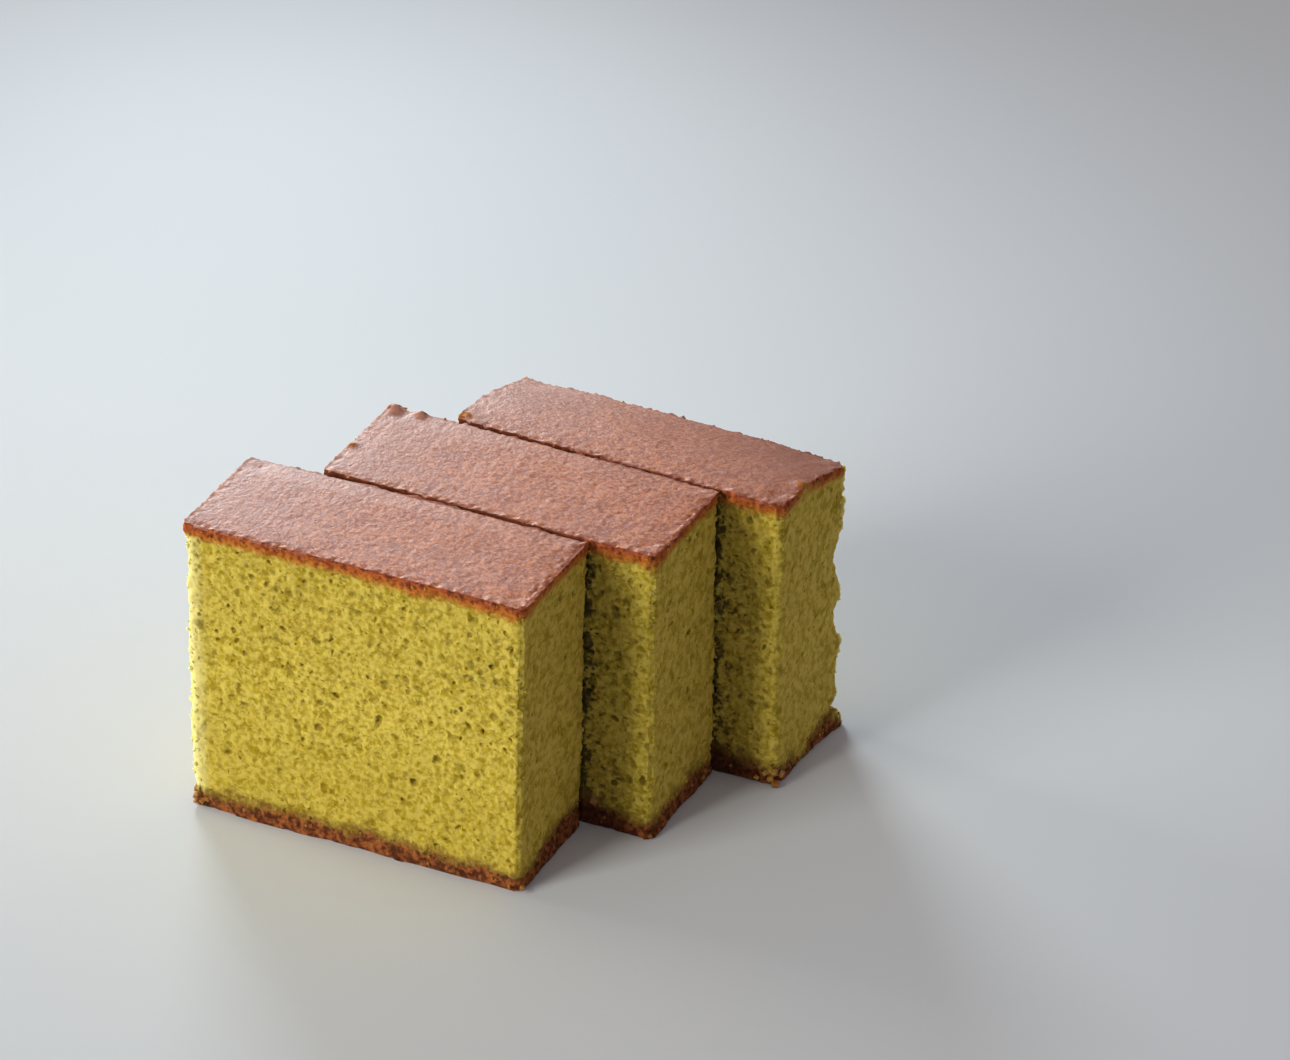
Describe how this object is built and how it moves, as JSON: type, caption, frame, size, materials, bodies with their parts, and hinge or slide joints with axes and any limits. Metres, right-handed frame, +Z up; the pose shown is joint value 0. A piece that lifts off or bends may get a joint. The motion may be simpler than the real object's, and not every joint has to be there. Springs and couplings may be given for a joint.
{
  "type": "castella sponge cake",
  "caption": "Green tea castella sponge cake, browned on its top and bottom, cut in upright slices that stand in a staggered row.",
  "frame": {"origin": "under the middle of the row's overall box, on the surface that the slices stand on", "axes": "+X along the slices' length, which is the row's longest extent, +Y from the front slice to the back slice, +Z up"},
  "size_m": [0.0924, 0.0776, 0.0584],
  "materials": {
    "green_sponge": "open, springy green tea crumb with a matte red-brown skin on top and a coarse dark brown layer below",
    "coarse_sugar": "amber grains of coarse sugar, half melted and shiny"
  },
  "bodies": {
    "root": {"front_slice": "green_sponge", "middle_slice": "green_sponge", "back_slice": "green_sponge"}
  },
  "joints": []
}
